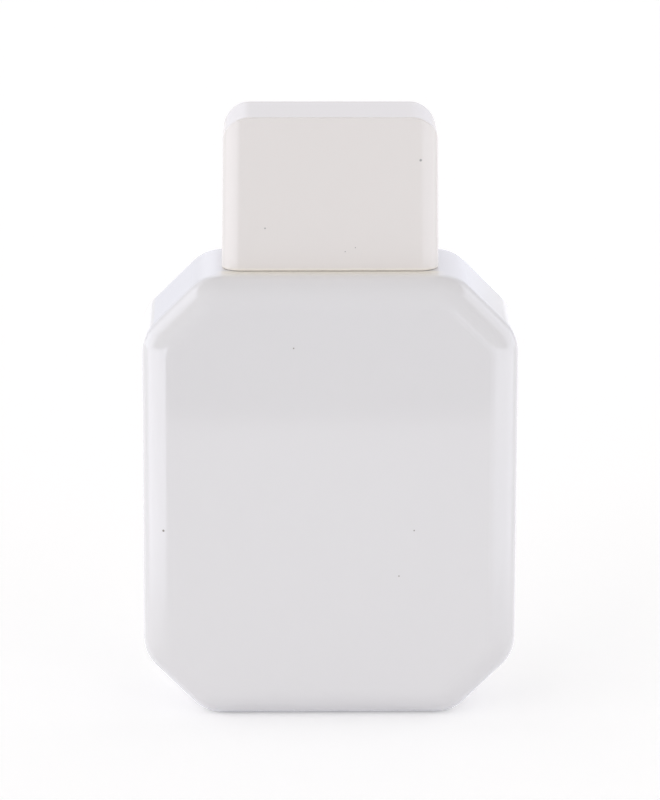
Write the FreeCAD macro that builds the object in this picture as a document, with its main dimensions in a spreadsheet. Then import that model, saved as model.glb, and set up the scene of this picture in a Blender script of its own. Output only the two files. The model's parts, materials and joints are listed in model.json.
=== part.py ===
import FreeCAD, Part
import Sketcher
import math
import os

# Cut-corner fragrance bottle with a crimped spray pump and a pull-off overcap.
# The origin is the middle of the base, +Z is up and the front faces -Y. Millimetres throughout.
# Every size that can be set by itself is a cell of the sheet. What fits to something else is
# worked out from the same cells and a named clearance.

doc = FreeCAD.newDocument("cut_corner_bottle")
sheet = doc.addObject("Spreadsheet::Sheet", "sizes")

sizes = {
    # Glass bottle, outside
    "bodyWidth": 74.2,
    "bodyHeight": 90.0,
    "bodyDepth": 33.0,
    "cornerCut": 12.3,
    "outlineRadius": 8.4,
    "edgeRadius": 5.8,
    "baseRim": 2.4,
    "baseRecess": 0.9,
    "recessRadius": 5.0,
    "recessEdge": 0.4,
    # Glass bottle, inside
    "glassWall": 3.0,
    "baseThickness": 7.0,
    "shoulderThickness": 3.6,
    "innerEdgeRadius": 2.6,
    "innerOutlineRadius": 4.4,
    # Crimp neck
    "neckHeight": 8.0,
    "neckRadius": 5.6,
    "neckRoot": 0.8,
    "beadRadius": 6.5,
    "beadHeight": 3.2,
    "lipRound": 0.5,
    "boreRadius": 4.1,
    "boreFlare": 1.2,
    # Neck gasket
    "gasketThickness": 0.8,
    "gasketRadius": 6.3,
    # Pump chamber
    "chamberRadius": 3.0,
    "chamberWall": 0.8,
    "chamberDepth": 17.8,
    "flangeRadius": 6.2,
    "flangeThickness": 0.9,
    "ledgeRadius": 1.3,
    "cageDepth": 2.0,
    "cageLip": 0.93,
    "cageLipHeight": 0.25,
    "inletRadius": 0.6,
    "spigotRadius": 1.75,
    "spigotLength": 5.0,
    "socketDepth": 3.8,
    "ballRadius": 1.0,
    "ballClearance": 0.02,
    "ventRadius": 0.35,
    "ventBelowFlange": 2.4,
    # Dip tube
    "tubeRadius": 0.9,
    "tubeBore": 0.55,
    "tubeClearance": 0.02,
    "tubeFloorGap": 1.5,
    # Turret and stem seal
    "turretThickness": 0.8,
    "turretBoss": 3.2,
    "turretBossHeight": 1.5,
    "turretSpigot": 2.0,
    "stemSealThickness": 0.8,
    "runningClearance": 0.06,
    # Stem, piston seat and piston
    "stemRadius": 1.6,
    "stemBore": 0.6,
    "stemRise": 7.7,
    "shoulderRadius": 2.45,
    "shoulderHeight": 0.8,
    "stemTail": 1.0,
    "stemGap": 0.1,
    "postRadius": 1.0,
    "postClearance": 0.02,
    "seatRadius": 2.2,
    "seatThickness": 0.8,
    "pistonHeight": 2.8,
    "pistonWaist": 2.55,
    "pistonLip": 0.6,
    "pistonTravel": 0.6,
    # Coil springs
    "returnCoilRadius": 1.95,
    "returnWire": 0.4,
    "returnTurns": 6.0,
    "smallCoilRadius": 2.1,
    "smallWire": 0.3,
    "smallTurns": 2.5,
    "wireSides": 6,
    "springGap": 0.05,
    # Ferrule and collar
    "ferruleWall": 0.3,
    "ferruleClearance": 0.05,
    "ferruleHole": 3.5,
    "crimpReach": 0.54,
    "collarWall": 0.3,
    "collarGap": 0.05,
    "collarFootGap": 0.35,
    "collarLip": 2.6,
    "collarBend": 0.5,
    "snapHeight": 1.4,
    "snapWidth": 0.7,
    "snapDepth": 0.35,
    # Spray button and nozzle
    "buttonRadius": 6.1,
    "buttonHeight": 8.8,
    "buttonWall": 1.0,
    "buttonRoof": 5.2,
    "buttonEdge": 0.7,
    "buttonRim": 0.6,
    "buttonDish": 0.5,
    "buttonStroke": 4.2,
    "buttonStopGap": 0.3,
    "socketWall": 1.0,
    "nozzleRadius": 2.0,
    "nozzleDepth": 2.6,
    "nozzleLength": 2.4,
    "nozzleClearance": 0.03,
    "nozzleBelowTop": 2.9,
    "sprayHole": 0.2,
    "sprayDish": 1.1,
    "sprayDishDepth": 0.4,
    "nozzleEdge": 0.25,
    "swirlRadius": 0.75,
    "swirlDepth": 0.35,
    "feedRadius": 0.4,
    # Overcap
    "capGap": 0.05,
    "capWidth": 42.8,
    "capDepth": 16.6,
    "capHeight": 30.75,
    "capTopWidth": 42.1,
    "capTopDepth": 16.1,
    "capTopRadius": 5.3,
    "capSideRadius": 3.8,
    "capEdgeRadius": 0.3,
    "capFootRadius": 0.4,
    "capWall": 1.3,
    "capRoof": 2.0,
    "capBoreGap": 0.3,
    "capGripHeight": 11.5,
    "capUpperGap": 0.8,
    "capTubeWall": 1.0,
    "capWebThickness": 1.0,
    "capWebSetback": 4.0,
    "gripClearance": 0.05,
    "gripWidth": 1.0,
    "gripLength": 6.0,
    "gripSetback": 2.5,
    "gripCount": 6.0,
}

for row, (word, number) in enumerate(sizes.items(), start=1):
    sheet.set(f"A{row}", word)
    sheet.set(f"B{row}", str(number))
    sheet.setAlias(f"B{row}", word)
doc.recompute()

# Lengths closer than this count as equal
nearly = 1e-3
fullTurn = 360
# The cut corners turn the outline by 45 degrees, and a round takes half of that on each side
halfBend = math.radians(45) / 2


class Size:
    """A length that is known both as a number and as an expression of the sheet."""

    def __init__(self, number, text):
        self.number = number
        self.text = text

    def __add__(self, other):
        other = as_size(other)
        return Size(self.number + other.number, f"({self.text} + {other.text})")

    def __sub__(self, other):
        other = as_size(other)
        return Size(self.number - other.number, f"({self.text} - {other.text})")

    def __mul__(self, other):
        other = as_size(other)
        return Size(self.number * other.number, f"({self.text} * {other.text})")

    def __truediv__(self, other):
        other = as_size(other)
        return Size(self.number / other.number, f"({self.text} / {other.text})")

    def __neg__(self):
        return Size(-self.number, f"(0 - {self.text})")

    __radd__ = __add__
    __rmul__ = __mul__


def as_size(value):
    """Pass a Size through and turn a plain number into one."""
    if isinstance(value, Size):
        return value
    return Size(float(value), repr(float(value)))


cell = {word: Size(number, f"sizes.{word}") for word, number in sizes.items()}
axis = as_size(0)


# Helpers that draw and bind

def bind(feature, prop, value):
    """Set a property from the sheet."""
    feature.setExpression(prop, as_size(value).text)


def plane(body, role):
    """One of the body's own origin planes or axes."""
    return next(f for f in body.Origin.OriginFeatures if f.Role == role)


def sketch_on(body, name, role, height=None):
    """An empty sketch on one of the body's origin planes, moved along its normal if asked."""
    sketch = body.newObject("Sketcher::SketchObject", name)
    sketch.AttachmentSupport = [(plane(body, role), "")]
    sketch.MapMode = "FlatFace"
    if height is not None:
        bind(sketch, "AttachmentOffset.Base.z", height)
    return sketch


def fix_point(sketch, geometry, corner, number, along, value):
    """Hold one coordinate of a corner to its size."""
    point = (geometry, corner)
    root = (-1, 1)
    if abs(value.number) < nearly:
        line = -2 if along == "X" else -1
        sketch.addConstraint(Sketcher.Constraint("PointOnObject", *point, line))
        return
    ends = root + point if value.number > 0 else point + root
    size = value if value.number > 0 else -value
    index = sketch.addConstraint(Sketcher.Constraint("Distance" + along, *ends, size.number))
    name = f"{along.lower()}{number}"
    sketch.renameConstraint(index, name)
    sketch.setExpression(f"Constraints.{name}", size.text)


def draw_outline(sketch, corners):
    """A closed outline of straight lines through the corners, each corner held to its sizes."""
    corners = [(as_size(a), as_size(b)) for a, b in corners]
    points = [FreeCAD.Vector(a.number, b.number, 0) for a, b in corners]
    count = len(points)
    for i in range(count):
        sketch.addGeometry(Part.LineSegment(points[i], points[(i + 1) % count]), False)
    for i in range(count):
        sketch.addConstraint(Sketcher.Constraint("Coincident", i, 2, (i + 1) % count, 1))
    for i, (a, b) in enumerate(corners):
        fix_point(sketch, i, 1, i, "X", a)
        fix_point(sketch, i, 1, i, "Y", b)


def draw_circle(sketch, centre, radius):
    """A circle held to its centre and radius."""
    a, b, r = as_size(centre[0]), as_size(centre[1]), as_size(radius)
    circle = Part.Circle(FreeCAD.Vector(a.number, b.number, 0), FreeCAD.Vector(0, 0, 1), r.number)
    geometry = sketch.addGeometry(circle, False)
    index = sketch.addConstraint(Sketcher.Constraint("Radius", geometry, r.number))
    sketch.renameConstraint(index, "radius")
    sketch.setExpression("Constraints.radius", r.text)
    fix_point(sketch, geometry, 3, 0, "X", a)
    fix_point(sketch, geometry, 3, 0, "Y", b)


def new_body(name):
    body = doc.addObject("PartDesign::Body", name)
    body.Label = name
    return body


def turn(body, name, corners, kind="PartDesign::Revolution"):
    """Spin an outline of radius and height pairs once round the Z axis."""
    sketch = sketch_on(body, name + "_outline", "XZ_Plane")
    draw_outline(sketch, corners)
    spun = body.newObject(kind, name)
    spun.Profile = sketch
    spun.ReferenceAxis = (sketch, ["V_Axis"])
    spun.Angle = fullTurn
    doc.recompute()
    return spun


def turned(name, corners):
    """A piece made by one turned outline."""
    body = new_body(name)
    turn(body, name + "_turning", corners)
    return body


def pad(body, name, role, corners, length, symmetric=False, height=None):
    """Raise an outline into a block."""
    sketch = sketch_on(body, name + "_outline", role, height)
    draw_outline(sketch, corners)
    block = body.newObject("PartDesign::Pad", name)
    block.Profile = sketch
    if symmetric:
        block.SideType = "Symmetric"
    bind(block, "Length", length)
    doc.recompute()
    return block


def bore_from_front(body, name, height, radius, front, back):
    """Bore a round hole along Y between two depths. The sketch's normal points to the front."""
    sketch = sketch_on(body, name + "_outline", "XZ_Plane", -front)
    draw_circle(sketch, (axis, height), radius)
    hole = body.newObject("PartDesign::Pocket", name)
    hole.Profile = sketch
    bind(hole, "Length", back - front)
    doc.recompute()
    return hole


def round_edges(body, name, base, chosen, radius):
    """Fillet those edges of a feature that the test picks."""
    names = [f"Edge{i}" for i, edge in enumerate(base.Shape.Edges, start=1) if chosen(edge)]
    if not names:
        raise RuntimeError(f"{name} found no edge")
    fillet = body.newObject("PartDesign::Fillet", name)
    fillet.Base = (base, names)
    bind(fillet, "Radius", radius)
    doc.recompute()
    return fillet


def round_shape(name, base, chosen, radius):
    """Fillet the picked edges of a boolean's result."""
    numbers = [i for i, edge in enumerate(base.Shape.Edges, start=1) if chosen(edge)]
    if not numbers:
        raise RuntimeError(f"{name} found no edge")
    fillet = doc.addObject("Part::Fillet", name)
    fillet.Base = base
    fillet.Edges = [(i, radius.number, radius.number) for i in numbers]
    doc.recompute()
    return fillet


def runs_along(edge, direction):
    """True for a straight edge along a direction."""
    if edge.Curve.TypeId != "Part::GeomLine":
        return False
    return abs(abs(edge.Curve.Direction.dot(direction)) - 1) < nearly


def lies_at(edge, coordinate, value):
    """True for an edge that stays at one value of x, y or z."""
    box = edge.BoundBox
    low, high = getattr(box, coordinate + "Min"), getattr(box, coordinate + "Max")
    return abs(low - value) < nearly and abs(high - value) < nearly


def boolean(kind, name, base, tool):
    """A Part boolean of two objects."""
    result = doc.addObject("Part::" + kind, name)
    result.Base = base
    result.Tool = tool
    result.Label = name
    doc.recompute()
    return result


alongX = FreeCAD.Vector(1, 0, 0)
alongY = FreeCAD.Vector(0, 1, 0)
alongZ = FreeCAD.Vector(0, 0, 1)

# Heights of the stack, from the base up
shoulder = cell["bodyHeight"]
lip = shoulder + cell["neckHeight"]
beadBottom = lip - cell["beadHeight"]
beadStep = cell["beadRadius"] - cell["neckRadius"]
gasketTop = lip + cell["gasketThickness"]
flangeTop = gasketTop + cell["flangeThickness"]
turretTop = flangeTop + cell["turretThickness"]
ferruleTop = turretTop + cell["ferruleWall"]
collarTop = ferruleTop + cell["collarGap"] + cell["collarWall"]
buttonBottom = collarTop + cell["buttonStroke"] + cell["buttonStopGap"]
buttonTop = buttonBottom + cell["buttonHeight"]
capBottom = shoulder + cell["capGap"]
capTop = capBottom + cell["capHeight"]


# Glass bottle

def cut_corner_outline(halfWidth, bottom, top, lowCut, highCut):
    """The eight corners of a rectangle with its corners cut at 45 degrees."""
    return [
        (halfWidth, bottom + lowCut),
        (halfWidth, top - highCut),
        (halfWidth - highCut, top),
        (-(halfWidth - highCut), top),
        (-halfWidth, top - highCut),
        (-halfWidth, bottom + lowCut),
        (-(halfWidth - lowCut), bottom),
        (halfWidth - lowCut, bottom),
    ]


def cut_corner_block(body, name, outline, depth, outlineRadius, edgeRadius):
    """A slab of the outline, its eight corners rounded and then its front and back edges."""
    slab = pad(body, name + "_slab", "XZ_Plane", outline, depth, symmetric=True)
    corners = round_edges(body, name + "_corners", slab, lambda e: runs_along(e, alongY), outlineRadius)
    half = depth.number / 2
    faces = round_edges(
        body, name + "_edges", corners,
        lambda e: lies_at(e, "Y", half) or lies_at(e, "Y", -half), edgeRadius)
    return faces


def make_bottle():
    halfWidth = cell["bodyWidth"] / 2
    cut = cell["cornerCut"]
    wall = cell["glassWall"]
    blank = new_body("bottle_blank")
    cut_corner_block(
        blank, "outside", cut_corner_outline(halfWidth, axis, shoulder, cut, cut),
        cell["bodyDepth"], cell["outlineRadius"], cell["edgeRadius"])

    # Neck with the bead that the ferrule is crimped under
    root = cell["neckRoot"]
    turn(blank, "neck", [
        (axis, shoulder - root),
        (cell["neckRadius"] + root, shoulder - root),
        (cell["neckRadius"] + root, shoulder),
        (cell["neckRadius"], shoulder + root),
        (cell["neckRadius"], beadBottom - beadStep),
        (cell["beadRadius"], beadBottom),
        (cell["beadRadius"], lip - cell["lipRound"]),
        (cell["beadRadius"] - cell["lipRound"], lip),
        (axis, lip),
    ])

    # Shallow recess that leaves the base standing on a rim
    flatHalfWidth = halfWidth - cut - cell["outlineRadius"] * math.tan(halfBend)
    flatHalfDepth = cell["bodyDepth"] / 2 - cell["edgeRadius"]
    a = flatHalfWidth - cell["baseRim"]
    b = flatHalfDepth - cell["baseRim"]
    sketch = sketch_on(blank, "recess_outline", "XY_Plane")
    draw_outline(sketch, [(a, b), (-a, b), (-a, -b), (a, -b)])
    recess = blank.newObject("PartDesign::Pocket", "recess")
    recess.Profile = sketch
    recess.Reversed = True
    bind(recess, "Length", cell["baseRecess"])
    doc.recompute()
    recessTop = sizes["baseRecess"]
    walls = round_edges(
        blank, "recess_corners", recess,
        lambda e: runs_along(e, alongZ) and abs(e.BoundBox.ZMax - recessTop) < nearly,
        cell["recessRadius"])

    def bounds_recess(edge):
        """True for the recess's edges at the base and at its own ceiling."""
        box = edge.BoundBox
        inside = box.XLength < a.number * 2 + nearly and box.YLength < b.number * 2 + nearly
        return inside and (lies_at(edge, "Z", 0) or lies_at(edge, "Z", recessTop))

    round_edges(blank, "recess_edges", walls, bounds_recess, cell["recessEdge"])

    # The space for the liquid, with its neck bore
    cavity = new_body("bottle_cavity")
    floor = cell["baseThickness"]
    ceiling = shoulder - cell["shoulderThickness"]
    lean = math.sqrt(2)
    lowCut = cut - wall - floor + wall * lean
    highCut = cut - wall - cell["shoulderThickness"] + wall * lean
    cut_corner_block(
        cavity, "inside", cut_corner_outline(halfWidth - wall, floor, ceiling, lowCut, highCut),
        cell["bodyDepth"] - wall * 2, cell["innerOutlineRadius"], cell["innerEdgeRadius"])
    bore = cell["boreRadius"]
    flare = cell["boreFlare"]
    turn(cavity, "bore", [
        (axis, ceiling - flare),
        (bore + flare, ceiling - flare),
        (bore + flare, ceiling),
        (bore, ceiling + flare),
        (bore, lip + flare),
        (axis, lip + flare),
    ])
    return boolean("Cut", "bottle", blank, cavity)


# Pump

ledge = gasketTop - cell["chamberDepth"]
cageFloor = ledge - cell["cageDepth"]
spigotBottom = cageFloor - cell["spigotLength"]
socketTop = spigotBottom + cell["socketDepth"]
tubeSocket = cell["tubeRadius"] + cell["tubeClearance"]
sealTop = gasketTop - (cell["turretSpigot"] - cell["flangeThickness"])
sealBottom = sealTop - cell["stemSealThickness"]
stemGuide = cell["stemRadius"] + cell["runningClearance"]
stemShoulderTop = sealBottom - cell["stemGap"]
stemShoulderBottom = stemShoulderTop - cell["shoulderHeight"]
stemBottom = stemShoulderBottom - cell["stemTail"]
pistonTop = stemBottom - cell["pistonTravel"]
pistonBottom = pistonTop - cell["pistonHeight"]
seatTop = pistonBottom
seatBottom = seatTop - cell["seatThickness"]
buttonRoofBottom = buttonTop - cell["buttonRoof"]
stemTop = turretTop + cell["turretBossHeight"] + cell["stemRise"]


def make_housing():
    """The chamber with its flange, ball cage and tube socket, and a vent that lets air back in."""
    chamber = cell["chamberRadius"]
    outer = chamber + cell["chamberWall"]
    coneRise = outer - cell["spigotRadius"]
    cageSlope = cell["ledgeRadius"] - cell["inletRadius"]
    body = turned("pump_housing", [
        (chamber, gasketTop + cell["flangeThickness"]),
        (chamber, ledge),
        (cell["cageLip"], ledge),
        (cell["cageLip"], ledge - cell["cageLipHeight"]),
        (cell["ledgeRadius"], ledge - cell["cageLipHeight"] * 2),
        (cell["ledgeRadius"], cageFloor + cageSlope),
        (cell["inletRadius"], cageFloor),
        (cell["inletRadius"], socketTop),
        (tubeSocket, socketTop),
        (tubeSocket, spigotBottom),
        (cell["spigotRadius"], spigotBottom),
        (cell["spigotRadius"], cageFloor - coneRise / 2),
        (outer, cageFloor + coneRise / 2),
        (outer, gasketTop),
        (cell["flangeRadius"], gasketTop),
        (cell["flangeRadius"], flangeTop),
    ])
    ventHeight = gasketTop - cell["ventBelowFlange"]
    bore_from_front(body, "vent", ventHeight, cell["ventRadius"], -outer, axis)
    return body


def make_ball():
    """The ball sits in its cone, a hair above the seat."""
    body = new_body("inlet_ball")
    sketch = sketch_on(body, "ball_outline", "XZ_Plane")
    centre = ball_centre()
    radius = cell["ballRadius"]
    middle = FreeCAD.Vector(0, centre.number, 0)
    half = Part.ArcOfCircle(
        Part.Circle(middle, FreeCAD.Vector(0, 0, 1), radius.number), -math.pi / 2, math.pi / 2)
    sketch.addGeometry(half, False)
    low = FreeCAD.Vector(0, centre.number - radius.number, 0)
    high = FreeCAD.Vector(0, centre.number + radius.number, 0)
    sketch.addGeometry(Part.LineSegment(high, low), False)
    sketch.addConstraint(Sketcher.Constraint("Coincident", 0, 2, 1, 1))
    sketch.addConstraint(Sketcher.Constraint("Coincident", 0, 1, 1, 2))
    index = sketch.addConstraint(Sketcher.Constraint("Radius", 0, radius.number))
    sketch.renameConstraint(index, "radius")
    sketch.setExpression("Constraints.radius", radius.text)
    fix_point(sketch, 0, 3, 0, "X", axis)
    fix_point(sketch, 0, 3, 0, "Y", centre)
    sketch.addConstraint(Sketcher.Constraint("PointOnObject", 1, 1, -2))
    sketch.addConstraint(Sketcher.Constraint("PointOnObject", 1, 2, -2))
    ball = body.newObject("PartDesign::Revolution", "ball_turning")
    ball.Profile = sketch
    ball.ReferenceAxis = (sketch, ["V_Axis"])
    ball.Angle = fullTurn
    doc.recompute()
    return body


def ball_centre():
    """Height at which the ball rests on the 45 degree cone above the inlet."""
    coneTip = cageFloor - cell["inletRadius"]
    return coneTip + cell["ballRadius"] * math.sqrt(2) + cell["ballClearance"]


def make_dip_tube():
    bottom = cell["baseThickness"] + cell["tubeFloorGap"]
    return turned("dip_tube", [
        (cell["tubeBore"], bottom),
        (cell["tubeRadius"], bottom),
        (cell["tubeRadius"], socketTop),
        (cell["tubeBore"], socketTop),
    ])


def make_gasket():
    inner = cell["chamberRadius"] + cell["chamberWall"]
    return turned("neck_gasket", [
        (inner, lip),
        (cell["gasketRadius"], lip),
        (cell["gasketRadius"], gasketTop),
        (inner, gasketTop),
    ])


def make_turret():
    chamber = cell["chamberRadius"]
    sealRoom = cell["shoulderRadius"]
    bossTop = turretTop + cell["turretBossHeight"]
    return turned("turret", [
        (stemGuide, sealTop),
        (chamber, sealTop),
        (chamber, flangeTop),
        (cell["flangeRadius"], flangeTop),
        (cell["flangeRadius"], turretTop),
        (cell["turretBoss"], turretTop),
        (cell["turretBoss"] - (cell["turretBoss"] - sealRoom) / 2, bossTop),
        (stemGuide, bossTop),
    ])


def make_stem_seal():
    return turned("stem_seal", [
        (stemGuide, sealBottom),
        (cell["chamberRadius"], sealBottom),
        (cell["chamberRadius"], sealTop),
        (stemGuide, sealTop),
    ])


def make_stem():
    socket = cell["postRadius"] + cell["postClearance"]
    return turned("stem", [
        (socket, stemBottom),
        (cell["stemRadius"], stemBottom),
        (cell["stemRadius"], stemShoulderBottom),
        (cell["shoulderRadius"], stemShoulderBottom),
        (cell["shoulderRadius"], stemShoulderTop),
        (cell["stemRadius"], stemShoulderTop),
        (cell["stemRadius"], stemTop),
        (cell["stemBore"], stemTop),
        (cell["stemBore"], stemShoulderBottom),
        (socket, stemShoulderBottom),
    ])


def make_piston_seat():
    """A plug that snaps into the stem, with a foot that the piston closes on."""
    return turned("piston_seat", [
        (axis, seatBottom),
        (cell["seatRadius"], seatBottom),
        (cell["seatRadius"], seatTop),
        (cell["postRadius"], seatTop),
        (cell["postRadius"], stemShoulderBottom),
        (axis, stemShoulderBottom),
    ])


def make_piston():
    """A ring whose two thin lips run in the chamber, on a waist that clears it."""
    outer = cell["chamberRadius"] - cell["runningClearance"]
    inner = cell["postRadius"] + cell["postClearance"] + cell["pistonLip"] / 2
    lipHeight = cell["pistonLip"]
    waist = cell["pistonWaist"]
    flare = outer - waist
    return turned("piston", [
        (inner, pistonBottom),
        (waist, pistonBottom),
        (outer, pistonBottom + flare / 2),
        (outer, pistonBottom + lipHeight),
        (waist, pistonBottom + lipHeight + flare),
        (waist, pistonTop - lipHeight - flare),
        (outer, pistonTop - lipHeight),
        (outer, pistonTop - flare / 2),
        (waist, pistonTop),
        (inner, pistonTop),
    ])


def make_spring(name, coilRadius, wire, turns, bottom, top):
    """A coil between two heights, its wire drawn with few sides to keep it light."""
    rise = top - bottom - wire
    path = doc.addObject("Part::Helix", name + "_path")
    bind(path, "Height", rise)
    bind(path, "Pitch", rise / turns)
    bind(path, "Radius", coilRadius)
    section = doc.addObject("Part::RegularPolygon", name + "_wire")
    section.Polygon = int(sizes["wireSides"])
    section.Placement.Rotation = FreeCAD.Rotation(alongZ, alongY)
    bind(section, "Circumradius", wire / 2)
    bind(section, "Placement.Base.x", coilRadius)
    coil = doc.addObject("Part::Sweep", name)
    coil.Sections = [section]
    coil.Spine = (path, ["Edge1"])
    coil.Solid = True
    coil.Frenet = True
    coil.Label = name
    bind(coil, "Placement.Base.z", bottom + wire / 2)
    doc.recompute()
    return coil


# Ferrule, collar and button

def make_ferrule():
    """A thin cup whose skirt is turned in under the bead."""
    wall = cell["ferruleWall"]
    inner = cell["beadRadius"] + cell["ferruleClearance"]
    outer = inner + wall
    bend = beadBottom - cell["ferruleClearance"]
    reach = cell["crimpReach"]
    return turned("ferrule", [
        (cell["ferruleHole"], turretTop),
        (inner, turretTop),
        (inner, bend),
        (inner - reach, bend - reach),
        (inner - reach, bend - reach - wall * math.sqrt(2)),
        (outer, bend - wall * (math.sqrt(2) - 1)),
        (outer, ferruleTop),
        (cell["ferruleHole"], ferruleTop),
    ])


def collar_outer():
    inner = cell["beadRadius"] + cell["ferruleClearance"] + cell["ferruleWall"] + cell["collarGap"]
    return inner + cell["collarWall"]


def make_collar():
    """A sleeve over the ferrule, held by a groove rolled in under the crimp."""
    wall = cell["collarWall"]
    outer = collar_outer()
    inner = outer - wall
    foot = shoulder + cell["collarFootGap"]
    hole = outer - cell["collarLip"]
    depth = cell["snapDepth"]
    middle = foot + cell["snapHeight"]
    low = middle - cell["snapWidth"] / 2
    high = middle + cell["snapWidth"] / 2
    lean = wall * math.tan(halfBend)
    body = new_body("collar")
    shell = turn(body, "collar_turning", [
        (inner, foot),
        (outer, foot),
        (outer, low - depth),
        (outer - depth, low),
        (outer - depth, high),
        (outer, high + depth),
        (outer, collarTop),
        (hole, collarTop),
        (hole, collarTop - wall),
        (inner, collarTop - wall),
        (inner, high + depth + lean),
        (inner - depth, high + lean),
        (inner - depth, low - lean),
        (inner, low - depth - lean),
    ])
    top = collarTop.number
    radius = outer.number
    round_edges(
        body, "collar_bend", shell,
        lambda e: lies_at(e, "Z", top) and abs(e.BoundBox.XMax - radius) < nearly, cell["collarBend"])
    return body


nozzleHeight = buttonTop - cell["nozzleBelowTop"]


def make_actuator():
    """The spray button: a cup with a stem socket, a dished top and a nozzle seat in front."""
    outer = cell["buttonRadius"]
    inner = outer - cell["buttonWall"]
    socket = cell["stemRadius"] + cell["postClearance"]
    socketBottom = turretTop + cell["turretBossHeight"] + cell["buttonStroke"] + cell["buttonStopGap"]
    body = new_body("button_blank")
    blank = turn(body, "button_turning", [
        (socket, socketBottom),
        (socket + cell["socketWall"], socketBottom),
        (socket + cell["socketWall"], buttonRoofBottom),
        (inner, buttonRoofBottom),
        (inner, buttonBottom),
        (outer, buttonBottom),
        (outer, buttonTop),
        (axis, buttonTop),
        (axis, stemTop),
        (socket, stemTop),
    ])
    top = buttonTop.number
    rounded = round_edges(body, "button_edge", blank, lambda e: lies_at(e, "Z", top), cell["buttonEdge"])
    seatBack = -(outer - cell["nozzleDepth"])
    bore_from_front(body, "nozzle_seat", nozzleHeight, cell["nozzleRadius"], -outer, seatBack)
    bore_from_front(body, "feed", nozzleHeight, cell["feedRadius"], -outer, axis)
    feedVolume = math.pi * sizes["feedRadius"] ** 2 * outer.number
    if body.Shape.Volume > rounded.Shape.Volume - feedVolume:
        raise RuntimeError("the nozzle seat cut nothing")

    # A shallow dish for the fingertip
    rim = outer - cell["buttonEdge"] - cell["buttonRim"]
    dish = cell["buttonDish"]
    ball = doc.addObject("Part::Sphere", "button_dish")
    ballRadius = (rim * rim + dish * dish) / (dish * 2)
    bind(ball, "Radius", ballRadius)
    bind(ball, "Placement.Base.z", buttonTop - dish + ballRadius)
    return boolean("Cut", "actuator", body, ball)


def make_nozzle():
    """A small cup pressed in the seat: a dished front, the spray hole and a swirl chamber behind."""
    outer = cell["buttonRadius"]
    seatBack = -(outer - cell["nozzleDepth"])
    front = seatBack - cell["nozzleLength"]
    back = seatBack - cell["nozzleClearance"]
    body = new_body("nozzle_insert")
    sketch = sketch_on(body, "nozzle_outline", "XZ_Plane", -front)
    draw_circle(sketch, (axis, nozzleHeight), cell["nozzleRadius"] - cell["nozzleClearance"])
    plug = body.newObject("PartDesign::Pad", "nozzle_plug")
    plug.Profile = sketch
    plug.Reversed = True
    bind(plug, "Length", back - front)
    doc.recompute()
    face = front.number
    round_edges(body, "nozzle_edge", plug, lambda e: lies_at(e, "Y", face), cell["nozzleEdge"])
    bore_from_front(
        body, "spray_dish", nozzleHeight, cell["sprayDish"], front, front + cell["sprayDishDepth"])
    bore_from_front(
        body, "swirl_chamber", nozzleHeight, cell["swirlRadius"], back - cell["swirlDepth"], back)
    bore_from_front(body, "spray_hole", nozzleHeight, cell["sprayHole"], front, back)
    return body


# Overcap

def make_overcap():
    width, depth, height = cell["capWidth"], cell["capDepth"], cell["capHeight"]
    topWidth, topDepth = cell["capTopWidth"], cell["capTopDepth"]

    # Outside, a drafted block that is round in plan, cut by a form with round top corners
    outline = [
        (width / 2, capBottom),
        (topWidth / 2, capTop),
        (-(topWidth / 2), capTop),
        (-(width / 2), capBottom),
    ]
    front = new_body("cap_front_form")
    pad(front, "cap_slab", "XZ_Plane", outline, depth * 2, symmetric=True)
    side = new_body("cap_side_form")
    pad(side, "cap_profile", "YZ_Plane", [
        (depth / 2, capBottom),
        (topDepth / 2, capTop),
        (-(topDepth / 2), capTop),
        (-(depth / 2), capBottom),
    ], width * 2, symmetric=True)
    block = boolean("Common", "cap_block", front, side)
    upright = round_shape(
        "cap_uprights", block,
        lambda e: abs(e.BoundBox.ZLength - height.number) < nearly, cell["capSideRadius"])
    over = new_body("cap_top_form")
    slab = pad(over, "cap_top_slab", "XZ_Plane", outline, depth * 2, symmetric=True)
    top = capTop.number
    round_edges(
        over, "cap_top_corners", slab,
        lambda e: runs_along(e, alongY) and lies_at(e, "Z", top), cell["capTopRadius"])
    crossed = boolean("Common", "cap_crossed", upright, over)

    # The edge where the two forms cross runs round each corner and fades out on the side
    low = (capTop - cell["capTopRadius"] - cell["capEdgeRadius"]).number
    soft = round_shape(
        "cap_outside", crossed,
        lambda e: e.BoundBox.ZMin > low and (e.BoundBox.YMin > 0 or e.BoundBox.YMax < 0),
        cell["capEdgeRadius"])

    bottom = capBottom.number
    footed = round_shape(
        "cap_foot", soft, lambda e: lies_at(e, "Z", bottom), cell["capFootRadius"])

    # Core of the two side pockets, split by the tube and its webs
    core = make_cap_core()
    return boolean("Cut", "overcap", footed, core)


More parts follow.
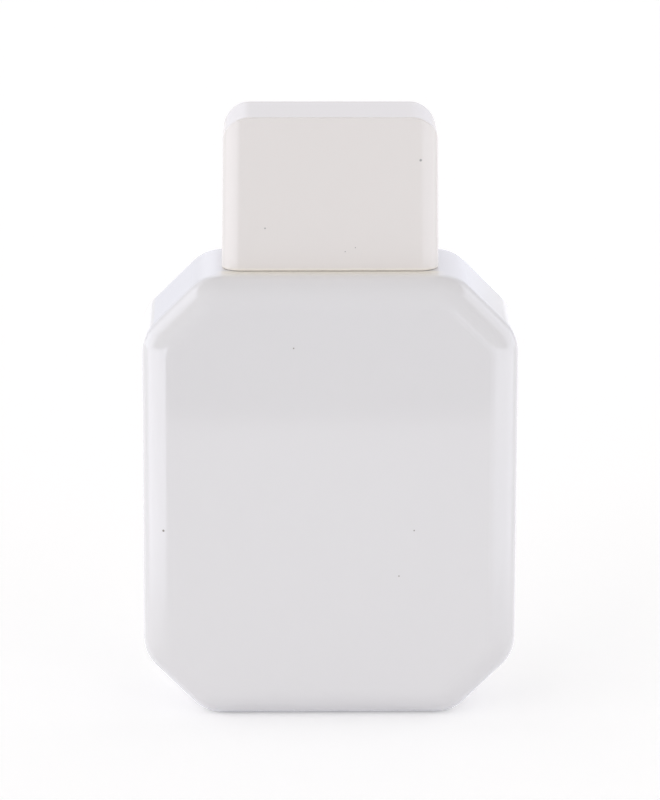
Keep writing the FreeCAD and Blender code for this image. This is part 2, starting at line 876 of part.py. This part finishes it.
def make_cap_core():
    width, depth = cell["capWidth"], cell["capDepth"]
    wall = cell["capWall"]
    ceiling = capTop - cell["capRoof"]
    lowHalf, lowDeep = width / 2 - wall, depth / 2 - wall
    highHalf, highDeep = cell["capTopWidth"] / 2 - wall, cell["capTopDepth"] / 2 - wall
    gripBore = collar_outer() + cell["capBoreGap"]
    upperBore = cell["buttonRadius"] + cell["capUpperGap"]
    tube = gripBore + cell["capTubeWall"]
    below = capBottom - wall

    pockets = new_body("cap_pocket_form")
    blank = pad(pockets, "pocket_front", "XZ_Plane", [
        (lowHalf, below),
        (highHalf, ceiling),
        (-highHalf, ceiling),
        (-lowHalf, below),
    ], highDeep * 2, symmetric=True)
    high = ceiling.number
    corners = round_edges(
        pockets, "pocket_corners", blank,
        lambda e: runs_along(e, alongY) and lies_at(e, "Z", high), cell["capTopRadius"] - wall)
    half = highDeep.number
    round_edges(
        pockets, "pocket_sides", corners,
        lambda e: (lies_at(e, "Y", half) or lies_at(e, "Y", -half)) and not runs_along(e, alongX),
        cell["capSideRadius"] - wall)

    post = turned("cap_tube_form", [
        (axis, below - wall),
        (tube, below - wall),
        (tube, capTop),
        (axis, capTop),
    ])
    webs = new_body("cap_web_form")
    pad(webs, "web_plate", "XY_Plane", [
        (width / 2, cell["capWebThickness"] / 2),
        (-(width / 2), cell["capWebThickness"] / 2),
        (-(width / 2), -(cell["capWebThickness"] / 2)),
        (width / 2, -(cell["capWebThickness"] / 2)),
    ], cell["capHeight"], height=capBottom + cell["capWebSetback"])
    around = boolean("Cut", "cap_around_tube", pockets, post)
    sides = boolean("Cut", "cap_side_pockets", around, webs)

    pin = new_body("cap_core_pin")
    turn(pin, "core_pin_turning", [
        (axis, below),
        (gripBore, below),
        (gripBore, capBottom + cell["capGripHeight"]),
        (upperBore, capBottom + cell["capGripHeight"] + (gripBore - upperBore)),
        (upperBore, ceiling),
        (axis, ceiling),
    ])
    slot = sketch_on(pin, "grip_outline", "XY_Plane", capBottom + cell["gripSetback"])
    reach = collar_outer() + cell["gripClearance"]
    draw_outline(slot, [
        (reach, cell["gripWidth"] / 2),
        (reach, -(cell["gripWidth"] / 2)),
        (tube, -(cell["gripWidth"] / 2)),
        (tube, cell["gripWidth"] / 2),
    ])
    grip = pin.newObject("PartDesign::Pocket", "grip_slot")
    grip.Profile = slot
    grip.Reversed = True
    bind(grip, "Length", cell["gripLength"])
    doc.recompute()
    ring = pin.newObject("PartDesign::PolarPattern", "grip_slots")
    ring.Originals = [grip]
    ring.Axis = (plane(pin, "Z_Axis"), [""])
    ring.Angle = fullTurn
    bind(ring, "Occurrences", cell["gripCount"])
    pin.Tip = ring
    doc.recompute()
    return boolean("Fuse", "cap_core", sides, pin)


pieces = [
    make_bottle(),
    make_gasket(),
    make_housing(),
    make_ball(),
    make_dip_tube(),
    make_turret(),
    make_stem_seal(),
    make_stem(),
    make_piston_seat(),
    make_piston(),
    make_spring(
        "precompression_spring", cell["smallCoilRadius"], cell["smallWire"], cell["smallTurns"],
        pistonTop + cell["springGap"], stemShoulderBottom - cell["springGap"]),
    make_spring(
        "return_spring", cell["returnCoilRadius"], cell["returnWire"], cell["returnTurns"],
        ledge + cell["springGap"], seatBottom - cell["springGap"]),
    make_ferrule(),
    make_collar(),
    make_actuator(),
    make_nozzle(),
    make_overcap(),
]
doc.recompute()

# Nothing is written unless every feature and every piece is sound
for item in doc.Objects:
    if "Invalid" in item.State or "Error" in item.State:
        raise RuntimeError(f"{item.Name} did not recompute: {item.State}")
for piece in pieces:
    if piece.Shape.isNull() or not piece.Shape.isValid():
        raise RuntimeError(f"{piece.Label} has no valid shape")
    if len(piece.Shape.Solids) != 1:
        raise RuntimeError(f"{piece.Label} has {len(piece.Shape.Solids)} solids")

os.makedirs("parts", exist_ok=True)
for piece in pieces:
    piece.Shape.exportStep(f"parts/{piece.Label}.step")
    box = piece.Shape.BoundBox
    print(
        f"{piece.Label:24s} volume {piece.Shape.Volume:10.2f}"
        f"  x {box.XMin:7.2f} {box.XMax:7.2f}"
        f"  y {box.YMin:7.2f} {box.YMax:7.2f}"
        f"  z {box.ZMin:7.2f} {box.ZMax:7.2f}")
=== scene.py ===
import json
import math

import bpy
import bmesh
from mathutils import Matrix, Vector


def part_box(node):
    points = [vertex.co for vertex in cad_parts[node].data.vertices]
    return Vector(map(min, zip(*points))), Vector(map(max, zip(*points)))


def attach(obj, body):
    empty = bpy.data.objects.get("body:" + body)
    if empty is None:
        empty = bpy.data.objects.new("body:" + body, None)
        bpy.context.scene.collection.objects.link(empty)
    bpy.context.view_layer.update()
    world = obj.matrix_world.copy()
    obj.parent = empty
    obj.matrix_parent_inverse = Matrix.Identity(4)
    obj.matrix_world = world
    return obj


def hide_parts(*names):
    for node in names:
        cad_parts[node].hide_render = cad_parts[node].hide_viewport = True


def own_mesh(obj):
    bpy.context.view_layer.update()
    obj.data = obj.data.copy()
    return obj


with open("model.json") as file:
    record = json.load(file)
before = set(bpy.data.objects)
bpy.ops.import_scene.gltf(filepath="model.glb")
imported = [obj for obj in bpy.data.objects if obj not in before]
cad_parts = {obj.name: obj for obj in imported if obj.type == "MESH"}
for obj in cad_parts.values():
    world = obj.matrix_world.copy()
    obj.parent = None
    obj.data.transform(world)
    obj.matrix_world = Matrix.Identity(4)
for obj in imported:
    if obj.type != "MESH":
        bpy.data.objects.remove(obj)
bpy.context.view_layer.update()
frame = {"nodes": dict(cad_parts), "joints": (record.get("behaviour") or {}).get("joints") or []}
scene = bpy.context.scene
scene.view_settings.view_transform = "Standard"
print("frame loaded with", len(frame["nodes"]), "nodes")


# Shader maths on sockets

class Sock:
    def __init__(self, graph, socket):
        self.graph = graph
        self.socket = socket

    def __add__(self, other):
        return self.graph.sums("ADD", self, other)

    def __radd__(self, other):
        return self.graph.sums("ADD", other, self)

    def __sub__(self, other):
        return self.graph.sums("SUBTRACT", self, other)

    def __rsub__(self, other):
        return self.graph.sums("SUBTRACT", other, self)

    def __mul__(self, other):
        return self.graph.sums("MULTIPLY", self, other)


class Graph:
    def __init__(self, owner):
        owner.use_nodes = True
        self.tree = owner.node_tree
        self.tree.nodes.clear()

    def node(self, kind, settings, sockets, out=0):
        made = self.tree.nodes.new(kind)
        for name, value in settings.items():
            setattr(made, name, value)
        for key, value in sockets.items():
            if isinstance(value, Sock):
                self.tree.links.new(value.socket, made.inputs[key])
            else:
                made.inputs[key].default_value = value
        return Sock(self, made.outputs[out]) if made.outputs else None

    def sums(self, operation, a, b):
        return self.node("ShaderNodeMath", {"operation": operation}, {0: a, 1: b})

    def one(self, operation, a):
        return self.node("ShaderNodeMath", {"operation": operation}, {0: a})

    def place(self, scale=(1.0, 1.0, 1.0)):
        here = self.node("ShaderNodeTexCoord", {}, {}, "Object")
        return self.node("ShaderNodeVectorMath", {"operation": "MULTIPLY"}, {0: here, 1: scale})

    def split(self, vector):
        return [self.node("ShaderNodeSeparateXYZ", {}, {"Vector": vector}, axis) for axis in "XYZ"]

    def noise(self, vector, scale, detail=2.0):
        sockets = {"Vector": vector, "Scale": scale, "Detail": detail}
        return self.node("ShaderNodeTexNoise", {}, sockets)

    def step(self, value, low, high):
        sockets = {"Value": value, "From Min": low, "From Max": high}
        return self.node("ShaderNodeMapRange", {"interpolation_type": "SMOOTHSTEP"}, sockets)

    def mix(self, factor, a, b):
        return self.node("ShaderNodeMix", {"data_type": "RGBA"}, {0: factor, 6: a, 7: b}, 2)

    def bump(self, height, strength, distance):
        sockets = {"Height": height, "Strength": strength, "Distance": distance}
        return self.node("ShaderNodeBump", {}, sockets)

    def ray(self, kind):
        return self.node("ShaderNodeLightPath", {}, {}, "Is " + kind + " Ray")


def surface(name, constants, varied):
    material = bpy.data.materials.new(name)
    graph = Graph(material)
    shader = graph.node("ShaderNodeBsdfPrincipled", {}, {**constants, **varied(graph)})
    graph.node("ShaderNodeOutputMaterial", {}, {"Surface": shader})
    return material


def between(graph, value, rise, fall):
    return graph.step(value, *rise) * (1.0 - graph.step(value, *fall))


def dress(material, names):
    for name in names:
        slots = frame["nodes"][name].data.materials
        slots.clear()
        slots.append(material)


# Dust specks on a front face: x and z of the middle, then the radius, in millimetres

speckEdge = {
    "toMillimetres": (1000.0, 1000.0, 1000.0),
    "core": 0.5,
    "rim": 1.3,
    "blur": 0.1,
}


def speckMask(graph, look):
    x, y, z = graph.split(graph.place(speckEdge["toMillimetres"]))
    total = 0.0
    for atX, atZ, radius in look["specks"]:
        acrossX = x - atX
        acrossZ = z - atZ
        reach = graph.one("SQRT", acrossX * acrossX + acrossZ * acrossZ)
        speck = 1.0 - graph.step(reach, radius * speckEdge["core"], radius * speckEdge["rim"])
        total = total + speck
    depth = look["speckDepth"]
    front = 1.0 - graph.step(y, depth - speckEdge["blur"], depth + speckEdge["blur"])
    return total * front


# Bottle: an even milky glass with a faint wave in its polish, a few specks of dust and painted
# warm light on the shoulder just before the overcap's foot, which also lightens the shade under
# the foot

glassLook = {
    "nodes": ["bottle"],
    "ior": 1.5,
    "milk": (0.815, 0.805, 0.818, 1.0),
    "milkShade": (0.8, 0.79, 0.805, 1.0),
    "speckColour": (0.26, 0.23, 0.21, 1.0),
    "cloudScale": 22.0,
    "cloudDetail": 3.0,
    "waveScale": 38.0,
    "waveDetail": 1.0,
    "waveDepth": 0.00004,
    "waveStrength": 0.25,
    "grainScale": 1500.0,
    "roughLow": 0.055,
    "roughVary": 0.03,
    "roughSpeck": 0.5,
    "specks": [
        (-33.0, 39.25, 0.24),
        (-7.3, 76.5, 0.15),
        (13.65, 29.85, 0.14),
        (16.6, 39.25, 0.15),
    ],
    "speckDepth": -12.0,
    # Painted warm light on the shoulder in front of the overcap's foot: its colour, then where the
    # strip lies
    "warm": (0.895, 0.857, 0.795, 1.0),
    "capFoot": (0.0214, 0.0083),
    "warmBeside": (-0.001, 0.0015),
    "warmFrom": (-0.0008, 0.0001),
    "warmReach": (0.0005, 0.0048),
    "warmRise": (0.0885, 0.0898),
    "warmFall": (0.0902, 0.0904),
}


# Mask of the painted warm light: a thin strip on the shoulder in front of the overcap's foot
def paintedWarmLight(graph, here):
    look = glassLook
    x, y, z = graph.split(here)
    pastSide = graph.one("ABSOLUTE", x) - look["capFoot"][0]
    pastFront = y * -1.0 - look["capFoot"][1]
    beside = 1.0 - graph.step(pastSide, *look["warmBeside"])
    ahead = between(graph, pastFront, look["warmFrom"], look["warmReach"])
    return beside * ahead * between(graph, z, look["warmRise"], look["warmFall"])


def glassVaried(graph):
    look = glassLook
    here = graph.place()
    cloud = graph.noise(here, look["cloudScale"], look["cloudDetail"])
    milk = graph.mix(cloud, look["milk"], look["milkShade"])
    # Painted warm light mixed into the milk colour in front of the overcap's foot, lightening the
    # shade there
    milk = graph.mix(paintedWarmLight(graph, here), milk, look["warm"])
    speck = speckMask(graph, look)
    wave = graph.noise(here, look["waveScale"], look["waveDetail"])
    grain = graph.noise(here, look["grainScale"])
    rough = grain * look["roughVary"] + look["roughLow"]
    return {
        "Base Color": graph.mix(speck, milk, look["speckColour"]),
        "Roughness": rough + speck * look["roughSpeck"],
        "Normal": graph.bump(wave, look["waveStrength"], look["waveDepth"]),
    }


dress(surface("white_glass", {"IOR": glassLook["ior"]}, glassVaried), glassLook["nodes"])

# Overcap: a matte moulding with an even fine grain, whose thin foot is painted lighter and warmer,
# a painted glow for the light that passes through it

capLook = {
    "nodes": ["overcap"],
    "ior": 1.46,
    "plastic": (0.857, 0.822, 0.805, 1.0),
    "plasticShade": (0.84, 0.805, 0.787, 1.0),
    # Painted glow: the lighter, warmer colour given to the overcap's foot for the light that
    # passes through it
    "paintedFootGlow": (0.97, 0.93, 0.87, 1.0),
    "footRise": (0.0902, 0.0909),
    "speckColour": (0.44, 0.43, 0.43, 1.0),
    "cloudScale": 30.0,
    "cloudDetail": 3.0,
    "grainScale": 2600.0,
    "grainDepth": 0.000012,
    "grainStrength": 0.35,
    "roughLow": 0.21,
    "roughVary": 0.08,
    "specks": [
        (17.6, 112.3, 0.27),
        (-12.85, 98.7, 0.17),
        (2.9, 94.0, 0.12),
        (4.9, 94.8, 0.12),
    ],
    "speckDepth": -7.9,
}


def capVaried(graph):
    look = capLook
    here = graph.place()
    height = graph.split(here)[2]
    cloud = graph.noise(here, look["cloudScale"], look["cloudDetail"])
    grain = graph.noise(here, look["grainScale"])
    plastic = graph.mix(cloud, look["plastic"], look["plasticShade"])
    # Painted glow on the overcap's foot, standing in for light that passes through it
    plastic = graph.mix(graph.step(height, *look["footRise"]), look["paintedFootGlow"], plastic)
    return {
        "Base Color": graph.mix(speckMask(graph, look), plastic, look["speckColour"]),
        "Roughness": grain * look["roughVary"] + look["roughLow"],
        "Normal": graph.bump(grain, look["grainStrength"], look["grainDepth"]),
    }


dress(surface("cap_plastic", {"IOR": capLook["ior"]}, capVaried), capLook["nodes"])

# Moulded pump plastics and seals, each with a light flow pattern and its own gloss

plastics = {
    "button_plastic": {
        "nodes": ["actuator"], "tone": (0.76, 0.755, 0.75, 1.0), "shade": (0.74, 0.735, 0.73, 1.0),
        "rough": 0.28, "grain": 3200.0, "depth": 0.000002},
    "nozzle_plastic": {
        "nodes": ["nozzle_insert"], "tone": (0.7, 0.7, 0.7, 1.0), "shade": (0.66, 0.66, 0.66, 1.0),
        "rough": 0.3, "grain": 3600.0, "depth": 0.000002},
    "pump_plastic": {
        "nodes": ["turret", "stem", "piston_seat"], "tone": (0.72, 0.72, 0.71, 1.0),
        "shade": (0.68, 0.68, 0.67, 1.0), "rough": 0.36, "grain": 2800.0, "depth": 0.000003},
    "piston_plastic": {
        "nodes": ["piston"], "tone": (0.66, 0.67, 0.66, 1.0), "shade": (0.6, 0.61, 0.6, 1.0),
        "rough": 0.42, "grain": 2600.0, "depth": 0.000003},
    "housing_plastic": {
        "nodes": ["pump_housing"], "tone": (0.66, 0.68, 0.68, 1.0),
        "shade": (0.6, 0.62, 0.62, 1.0), "rough": 0.4, "grain": 2400.0, "depth": 0.000003},
    "tube_plastic": {
        "nodes": ["dip_tube"], "tone": (0.68, 0.7, 0.7, 1.0), "shade": (0.62, 0.64, 0.64, 1.0),
        "rough": 0.3, "grain": 2000.0, "depth": 0.000003},
    "seal_rubber": {
        "nodes": ["neck_gasket", "stem_seal"], "tone": (0.36, 0.36, 0.34, 1.0),
        "shade": (0.3, 0.3, 0.29, 1.0), "rough": 0.62, "grain": 3000.0, "depth": 0.000006},
}


plasticGrain = {
    "ior": 1.48,
    "flow": (1.0, 1.0, 0.2),
    "flowShare": 0.03,
    "flowDetail": 3.0,
    "roughVary": 0.1,
    "bump": 0.3,
}


def plasticVaried(look):
    common = plasticGrain

    def varied(graph):
        along = graph.place(common["flow"])
        flow = graph.noise(along, look["grain"] * common["flowShare"], common["flowDetail"])
        grain = graph.noise(graph.place(), look["grain"])
        return {
            "Base Color": graph.mix(flow, look["tone"], look["shade"]),
            "Roughness": grain * common["roughVary"] + (look["rough"] - common["roughVary"] / 2),
            "Normal": graph.bump(grain, common["bump"], look["depth"]),
        }
    return varied


for slotName, look in plastics.items():
    dress(surface(slotName, {"IOR": plasticGrain["ior"]}, plasticVaried(look)), look["nodes"])

# Metals: turned aluminium with lines round the axis, and drawn steel

metals = {
    "collar_aluminium": {
        "nodes": ["collar"], "tone": (0.5, 0.5, 0.51, 1.0), "shade": (0.45, 0.45, 0.46, 1.0),
        "rough": 0.4, "stretch": (0.02, 0.02, 1.0), "scale": 9000.0, "depth": 0.000004},
    "ferrule_aluminium": {
        "nodes": ["ferrule"], "tone": (0.78, 0.78, 0.79, 1.0), "shade": (0.68, 0.68, 0.69, 1.0),
        "rough": 0.34, "stretch": (0.05, 0.05, 1.0), "scale": 6000.0, "depth": 0.000008},
    "spring_steel": {
        "nodes": ["return_spring", "precompression_spring"], "tone": (0.58, 0.58, 0.59, 1.0),
        "shade": (0.46, 0.46, 0.47, 1.0), "rough": 0.27, "stretch": (1.0, 1.0, 1.0),
        "scale": 2500.0, "depth": 0.000004},
    "ball_steel": {
        "nodes": ["inlet_ball"], "tone": (0.7, 0.7, 0.71, 1.0), "shade": (0.62, 0.62, 0.63, 1.0),
        "rough": 0.1, "stretch": (1.0, 1.0, 1.0), "scale": 1500.0, "depth": 0.000002},
}


metalLines = {
    "cloudScale": 120.0,
    "cloudDetail": 3.0,
    "roughVary": 0.12,
    "bump": 0.4,
}


def metalVaried(look):
    common = metalLines

    def varied(graph):
        lines = graph.noise(graph.place(look["stretch"]), look["scale"])
        cloud = graph.noise(graph.place(), common["cloudScale"], common["cloudDetail"])
        return {
            "Base Color": graph.mix(cloud, look["tone"], look["shade"]),
            "Roughness": lines * common["roughVary"] + (look["rough"] - common["roughVary"] / 2),
            "Normal": graph.bump(lines, common["bump"], look["depth"]),
        }
    return varied


for slotName, look in metals.items():
    look["made"] = surface(slotName, {"Metallic": 1.0}, metalVaried(look))
    dress(look["made"], look["nodes"])
print("materials set")

# Return spring: the CAD coil itself, as a smooth-shaded piece of its own fixed to the bottle body;
# the squeeze for the button's travel is worked out but not applied

returnSpring = {
    "name": "returnSpring",
    "node": "return_spring",
    "slot": "spring_steel",
    "joint": "button_press",
    "body": "bottle_body",
    "meets": "piston_seat",
    "merge": 1e-7,
    "sharp": 50.0,
}


def makeReturnSpring():
    look = returnSpring
    shape = bmesh.new()
    shape.from_mesh(frame["nodes"][look["node"]].data)
    bmesh.ops.remove_doubles(shape, verts=shape.verts, dist=look["merge"])
    mesh = bpy.data.meshes.new(look["name"])
    shape.to_mesh(mesh)
    shape.free()
    mesh.shade_smooth()
    mesh.set_sharp_from_angle(angle=math.radians(look["sharp"]))
    mesh.materials.clear()
    mesh.materials.append(metals[look["slot"]]["made"])
    spring = bpy.data.objects.new(look["name"], mesh)
    scene.collection.objects.link(spring)
    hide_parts(look["node"])
    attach(spring, look["body"])
    press = next(joint for joint in frame["joints"] if joint["name"] == look["joint"])
    travel = max(press["range_m"])
    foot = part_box(look["node"])[0].z
    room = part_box(look["meets"])[0].z - foot
    1.0 - travel / room
    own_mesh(spring)


makeReturnSpring()
print("return spring set")

# Light at the two sides: azimuths in degrees, from straight ahead of the front face outwards,
# heights as the z of a direction, and levels for matte light and for mirrored rays

sideLight = {
    "sides": [
        {
            "sign": -1.0, "from": (19.0, 25.0), "to": (94.0, 114.0),
            "level": 1.6, "mirrored": 2.9, "aloft": 2.5, "rear": 1.0,
            "cornerFrom": (166.0, 171.0), "corner": 1.32},
        {
            "sign": 1.0, "from": (0.0, 36.0), "to": (98.0, 118.0),
            "level": 1.27, "mirrored": 2.5, "aloft": 2.0, "rear": 0.8,
            "cornerFrom": (159.0, 166.0), "corner": 1.12},
    ],
    "height": (0.62, 0.78),
    "mirroredHeight": (0.0, 0.12),
    "aloftFrom": (70.0, 95.0),
    "aloftTo": (125.0, 150.0),
    "aloftHeight": (0.55, 0.68),
    "rearFrom": (125.0, 152.0),
    "rearTo": (166.0, 180.0),
    "cornerTo": (175.0, 179.5),
    "tint": (0.96, 0.98, 1.1, 1.0),
}


def azimuthOf(graph, x, y, side):
    return graph.sums("ARCTAN2", x * side["sign"], y * -1.0) * math.degrees(1.0)


# Table: plain white paper. In mirrored rays it is brighter where the side light meets it, and a
# little dimmer far behind the bottle

tableLook = {
    "front": -0.243,
    "back": 1.6,
    "side": 1.5,
    "drop": -0.00002,
    "tone": (0.93, 0.93, 0.94, 1.0),
    "white": (1.0, 1.0, 1.0, 1.0),
    "seen": 0.255,
    "mirrored": 0.48,
    "farLess": 0.26,
    "far": (0.7, 1.15),
    "edgePoint": (0.035, -0.014),
    "near": (0.03, 0.14),
}


def makeTable():
    look = tableLook
    shape = bmesh.new()
    bmesh.ops.create_grid(shape, x_segments=1, y_segments=1, size=1.0)
    half = (look["side"], (look["back"] - look["front"]) / 2, 1.0)
    middle = (0.0, (look["front"] + look["back"]) / 2, look["drop"])
    bmesh.ops.scale(shape, vec=half, verts=shape.verts)
    bmesh.ops.translate(shape, vec=middle, verts=shape.verts)
    mesh = bpy.data.meshes.new("table")
    shape.to_mesh(mesh)
    shape.free()
    table = bpy.data.objects.new("table", mesh)
    scene.collection.objects.link(table)
    material = bpy.data.materials.new("tablePaper")
    graph = Graph(material)
    x, y = graph.split(graph.place())[:2]
    mirrored = look["mirrored"] - graph.step(y, *look["far"]) * look["farLess"]
    for side in sideLight["sides"]:
        acrossX = x - look["edgePoint"][0] * side["sign"]
        acrossY = y - look["edgePoint"][1]
        reach = graph.one("SQRT", acrossX * acrossX + acrossY * acrossY)
        azimuth = azimuthOf(graph, acrossX, acrossY, side)
        share = between(graph, azimuth, side["from"], side["to"])
        share = share * graph.step(reach, *look["near"])
        mirrored = mirrored + share * (side["mirrored"] - 1.0)
    glossy = graph.ray("Glossy")
    glow = graph.node("ShaderNodeEmission", {}, {
        "Color": graph.mix(glossy, look["white"], sideLight["tint"]),
        "Strength": graph.ray("Camera") * look["seen"] + glossy * mirrored,
    })
    paper = graph.node("ShaderNodeBsdfDiffuse", {}, {"Color": look["tone"]})
    both = graph.node("ShaderNodeAddShader", {}, {0: paper, 1: glow})
    graph.node("ShaderNodeOutputMaterial", {}, {"Surface": both})
    mesh.materials.append(material)


makeTable()

# Surroundings: a light tent, with a matte light of its own and another one for mirrored rays

tentLook = {
    "seenWhite": 1.0,
    "ahead": {"level": 1.03, "high": 0.34, "edge": (0.25, 0.6)},
    "below": 0.8,
    "behind": {"level": 0.85, "edge": (-0.1, 0.3)},
    "low": {"level": 1.3, "edge": (0.3, 0.5)},
    "top": {"level": 0.46, "edge": (0.7, 0.9)},
    "mirrored": {"open": 0.35, "below": 0.25, "behind": 1.0, "height": (0.5, 0.7)},
    "horizon": (-0.03, 0.03),
    "tintEdge": (0.0, 0.7),
    "warm": (1.0, 0.985, 0.965, 1.0),
    "cool": (0.97, 0.97, 1.0, 1.0),
    "white": (1.0, 1.0, 1.0, 1.0),
}


def toward(level, share, target):
    return level + share * (target - level)


def matteLight(graph, x, y, z, behind):
    look = tentLook
    high = graph.step(z, *look["ahead"]["edge"])
    ahead = toward(look["ahead"]["level"], high, look["ahead"]["high"])
    level = toward(ahead, behind, look["behind"]["level"])
    low = behind * (1.0 - graph.step(z, *look["low"]["edge"]))
    level = toward(level, low, look["low"]["level"])
    level = toward(level, graph.step(z, *look["top"]["edge"]), look["top"]["level"])
    under = 1.0 - graph.step(z, *sideLight["height"])
    for side in sideLight["sides"]:
        share = between(graph, azimuthOf(graph, x, y, side), side["from"], side["to"]) * under
        level = toward(level, share, side["level"])
    above = graph.sums("MAXIMUM", graph.step(z, *look["horizon"]), behind)
    return toward(look["below"], above, level)


def mirroredLight(graph, x, y, z, behind):
    look = tentLook["mirrored"]
    level = toward(look["open"], behind * (1.0 - graph.step(z, *look["height"])), look["behind"])
    above = graph.sums("MAXIMUM", graph.step(z, *tentLook["horizon"]), behind)
    level = toward(look["below"], above, level)
    aloft = 1.0 - graph.step(z, *sideLight["aloftHeight"])
    under = 1.0 - graph.step(z, *sideLight["mirroredHeight"])
    for side in sideLight["sides"]:
        azimuth = azimuthOf(graph, x, y, side)
        share = between(graph, azimuth, sideLight["aloftFrom"], sideLight["aloftTo"]) * aloft
        level = toward(level, share, side["aloft"])
        share = between(graph, azimuth, sideLight["rearFrom"], sideLight["rearTo"]) * aloft
        level = toward(level, share, side["rear"])
        share = between(graph, azimuth, side["cornerFrom"], sideLight["cornerTo"]) * aloft
        level = toward(level, share, side["corner"])
        share = between(graph, azimuth, side["from"], side["to"]) * under
        level = toward(level, share, side["mirrored"])
    return level


def makeTent():
    look = tentLook
    world = bpy.data.worlds.new("lightTent")
    scene.world = world
    graph = Graph(world)
    x, y, z = graph.split(graph.node("ShaderNodeTexCoord", {}, {}, "Generated"))
    behind = graph.step(y, *look["behind"]["edge"])
    seen = graph.ray("Camera")
    glossy = graph.ray("Glossy")
    matte = matteLight(graph, x, y, z, behind)
    level = toward(matte, glossy, mirroredLight(graph, x, y, z, behind))
    tint = graph.mix(graph.step(z, *look["tintEdge"]), look["cool"], look["warm"])
    tint = graph.mix(glossy, tint, sideLight["tint"])
    glow = graph.node("ShaderNodeBackground", {}, {
        "Color": graph.mix(seen, tint, look["white"]),
        "Strength": toward(level, seen, look["seenWhite"]),
    })
    graph.node("ShaderNodeOutputWorld", {}, {"Surface": glow})


makeTent()
print("table and light tent set")

# Camera: the photograph's own place and long lens, in pixels of a frame 660 wide and 800 high

cameraLook = {
    "aimHeight": 0.06005,
    "distance": 0.95687,
    "elevation": 15.10,
    "turn": 1.09,
    "roll": 0.19,
    "focal": 4784.4,
    "aimPixel": (329.13, 407.51),
    "frame": (660.0, 800.0),
    "sensor": 36.0,
    "clip": (0.01, 20.0),
}


def makeCamera():
    look = cameraLook
    rise = math.radians(look["elevation"])
    turn = math.radians(look["turn"])
    wide, high = look["frame"]
    data = bpy.data.cameras.new("camera")
    data.sensor_fit = "AUTO"
    data.sensor_width = look["sensor"]
    data.lens = look["focal"] * look["sensor"] / high
    data.shift_x = (wide / 2 - look["aimPixel"][0]) / high
    data.shift_y = (look["aimPixel"][1] - high / 2) / high
    data.clip_start, data.clip_end = look["clip"]
    ahead = Vector((
        math.cos(rise) * math.sin(turn), math.cos(rise) * math.cos(turn), -math.sin(rise)))
    right = Vector((math.cos(turn), -math.sin(turn), 0.0))
    basis = Matrix((right, right.cross(ahead), -ahead)).transposed()
    tilt = Matrix.Rotation(math.radians(look["roll"]), 3, "Z")
    camera = bpy.data.objects.new("camera", data)
    scene.collection.objects.link(camera)
    camera.location = Vector((0.0, 0.0, look["aimHeight"])) - ahead * look["distance"]
    camera.rotation_euler = (basis @ tilt).to_euler()
    scene.camera = camera


makeCamera()
print("camera set")
